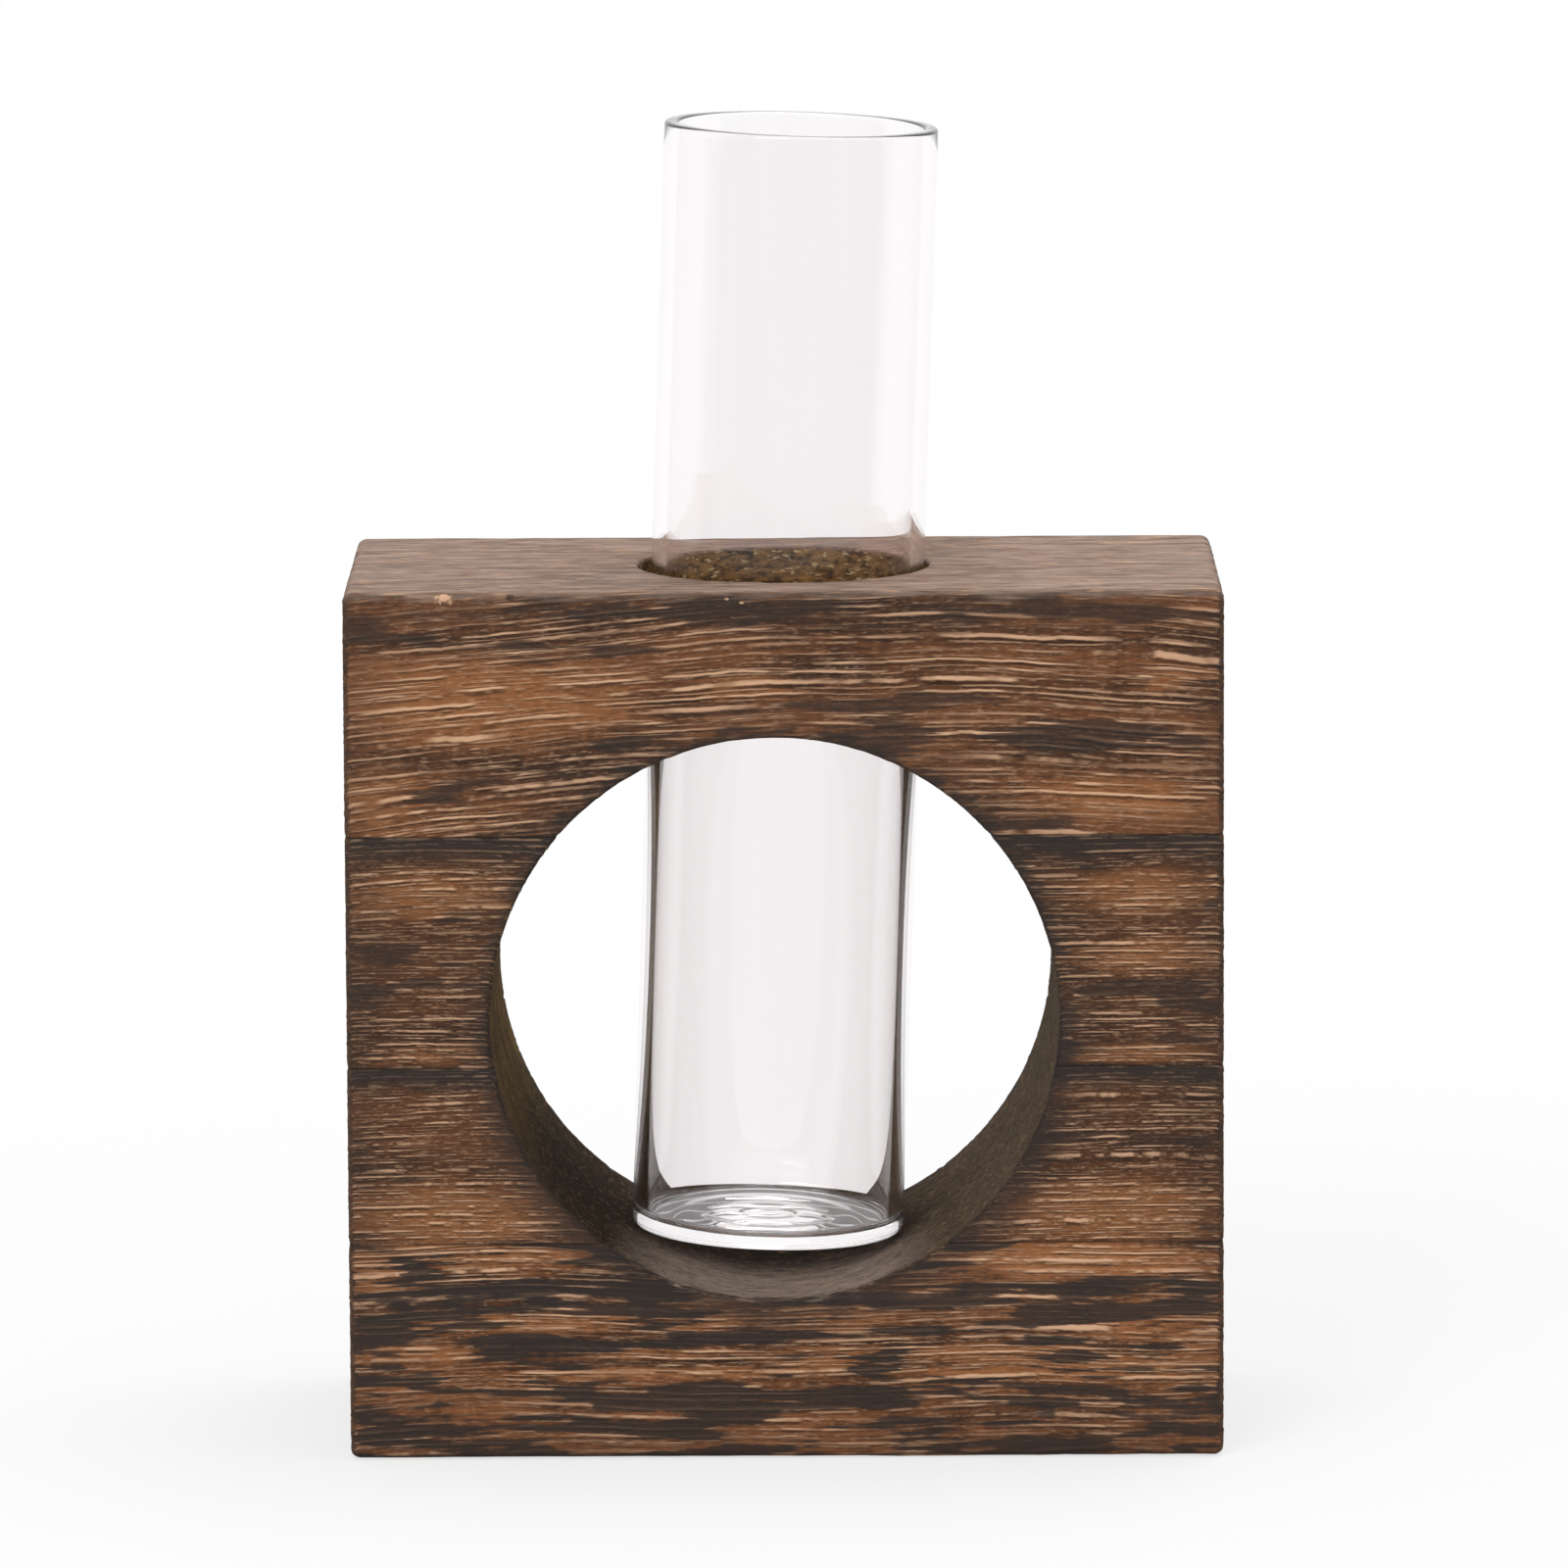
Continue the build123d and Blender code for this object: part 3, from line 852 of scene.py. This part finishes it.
def tube_place():
    """The matrix that stands the tube, made upright on the origin, where the frame has it."""
    mouth = next(m for m in frame["record"]["mounts"] if m["name"] == "tube_mouth")
    axis = Vector(mouth["axis"]).normalized()
    middle = TUBE_LENGTH - RIM_RADIUS - mouth["dims"]["length_mm"] / 2
    foot = Vector(mouth["pos_m"]) - axis * middle * MM
    lean = Vector((0, 0, 1)).rotation_difference(axis)
    return Matrix.Translation(foot) @ lean.to_matrix().to_4x4()


def make_tube():
    """The glass tube, turned from its section."""
    low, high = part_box("glass_tube")
    radius = (high.y - low.y) / 2 / MM
    b = bmesh.new()
    rings = []
    turns = [2 * pi * side / TUBE_SIDES for side in range(TUBE_SIDES)]
    for across, level in tube_section(radius):
        if across == 0:
            rings.append([b.verts.new((0, 0, level * MM))] * TUBE_SIDES)
            continue
        rise = floor_rise(across, level, radius - TUBE_WALL)
        places = [Vector((across * cos(t), across * sin(t), level + rise * across * sin(t))) for t in turns]
        rings.append([b.verts.new(place * MM) for place in places])
    for lower, upper in zip(rings, rings[1:]):
        for side in range(TUBE_SIDES):
            after = (side + 1) % TUBE_SIDES
            corners = [lower[side], lower[after], upper[after], upper[side]]
            b.faces.new(list(dict.fromkeys(corners)))
    bmesh.ops.recalc_face_normals(b, faces=b.faces)
    b.transform(tube_place())
    mesh = bpy.data.meshes.new("tube_glass")
    b.to_mesh(mesh)
    b.free()
    mesh.shade_smooth()
    new_piece("tube_glass", mesh, glass_material(), "tube", "glass_tube")


# Studio, in metres
WHITE = (1.0, 1.0, 1.0, 1.0)
FLOOR_PAINT = (0.86, 0.86, 0.86, 1.0)
FLOOR_ROUGHNESS = 0.9
FLOOR_HALF = 8.0
FLOOR_DROP = 0.00005
WORLD_LIGHT = 0.55
SHADOW_SHARE = 0.3
SHADOW_NEAR, SHADOW_FAR = 0.1, 0.32
DIM_SHARE = 0.6
DIM_NEAR, DIM_FAR = -0.04, -0.2
ALL_BOUNCES = 40
GLASS_BOUNCES = 32
SOFT_BOXES = {
    "front_box": {"place": (-0.7, -1.5, 1.1), "target": (0, 0, 0.06), "size": 0.9, "power": 14.0},
    "top_box": {"place": (0.2, 0.2, 1.3), "target": (0, 0, 0.05), "size": 0.8, "power": 8.0},
}


def seen_directly(w):
    """1 for what the camera sees, straight, in a gloss or through glass, and 0 for light on things."""
    path = w.node("ShaderNodeLightPath").outputs
    seen = w.math("MAXIMUM", path["Is Camera Ray"], path["Is Glossy Ray"])
    return w.math("MAXIMUM", seen, path["Is Transmission Ray"])


def make_floor():
    """A plain white floor that shows white to the camera and keeps a light shadow.

    In front of the block it is dimmer in reflections, as a studio is behind its camera."""
    mesh = bpy.data.meshes.new("studio_floor")
    corners = [(-1, -1), (1, -1), (1, 1), (-1, 1)]
    places = [(x * FLOOR_HALF, y * FLOOR_HALF, -FLOOR_DROP) for x, y in corners]
    mesh.from_pydata(places, [], [(0, 1, 2, 3)])
    floor = bpy.data.objects.new("studio_floor", mesh)
    bpy.context.scene.collection.objects.link(floor)
    paint = bpy.data.materials.new("studio_white")
    paint.use_nodes = True
    w = Wiring(paint.node_tree)
    shader = paint.node_tree.nodes["Principled BSDF"]
    shader.inputs["Base Color"].default_value = FLOOR_PAINT
    shader.inputs["Roughness"].default_value = FLOOR_ROUGHNESS
    shader.inputs["Specular IOR Level"].default_value = 0.0
    place = w.node("ShaderNodeTexCoord").outputs["Object"]
    near_block = w.fall(w.length(place), SHADOW_NEAR, SHADOW_FAR)
    share = w.times(seen_directly(w), w.linear(near_block, slope=-SHADOW_SHARE, start=1.0))
    dim = w.times(w.fall(w.parts(place)[1], DIM_FAR, DIM_NEAR), DIM_SHARE)
    reflected = w.math("MINIMUM", w.node("ShaderNodeLightPath").outputs["Glossy Depth"], 1.0)
    glowing = w.math("SUBTRACT", 1.0, w.times(dim, reflected))
    glow = w.node("ShaderNodeEmission", {"Color": WHITE, "Strength": glowing})
    both = w.node("ShaderNodeMixShader", {0: share, 1: shader.outputs[0], 2: glow.outputs[0]})
    w.feed(paint.node_tree.nodes["Material Output"].inputs["Surface"], both.outputs[0])
    mesh.materials.append(paint)


def make_world():
    """White all round to the camera and in glass, and an even soft light on everything."""
    world = bpy.data.worlds.new("studio_world")
    world.use_nodes = True
    w = Wiring(world.node_tree)
    back = world.node_tree.nodes["Background"]
    back.inputs["Color"].default_value = WHITE
    strength = w.linear(seen_directly(w), slope=1.0 - WORLD_LIGHT, start=WORLD_LIGHT)
    w.feed(back.inputs["Strength"], strength)
    bpy.context.scene.world = world


def soft_light(name, place, target, size, power):
    """A square soft box at a place, turned to a target."""
    lamp = bpy.data.lights.new(name, "AREA")
    lamp.size = size
    lamp.energy = power
    box = bpy.data.objects.new(name, lamp)
    bpy.context.scene.collection.objects.link(box)
    box.location = place
    box.rotation_euler = (Vector(target) - Vector(place)).to_track_quat("-Z", "Y").to_euler()


def make_camera():
    """The photograph's camera."""
    flat = cos(CAMERA_PITCH)
    ahead = Vector((sin(CAMERA_YAW) * flat, cos(CAMERA_YAW) * flat, -sin(CAMERA_PITCH)))
    level = Vector((cos(CAMERA_YAW), -sin(CAMERA_YAW), 0))
    above = level.cross(ahead)
    right = cos(CAMERA_ROLL) * level + sin(CAMERA_ROLL) * above
    up = cos(CAMERA_ROLL) * above - sin(CAMERA_ROLL) * level
    lens = bpy.data.cameras.new("camera")
    lens.lens = CAMERA_LENS
    lens.sensor_width = CAMERA_SENSOR
    camera = bpy.data.objects.new("camera", lens)
    bpy.context.scene.collection.objects.link(camera)
    turn = Matrix((right, up, -ahead)).transposed().to_4x4()
    camera.matrix_world = Matrix.Translation(CAMERA_PLACE) @ turn
    bpy.context.scene.camera = camera


def let_light_through():
    """Lets light bounce often enough to come out of the thick glass of the tube's foot."""
    light = bpy.context.scene.cycles
    light.max_bounces = ALL_BOUNCES
    light.glossy_bounces = GLASS_BOUNCES
    light.transmission_bounces = GLASS_BOUNCES


make_block()
make_tube()
make_floor()
make_world()
for box_name, box in SOFT_BOXES.items():
    soft_light(box_name, **box)
make_camera()
let_light_through()
bpy.context.scene.view_settings.view_transform = "Standard"
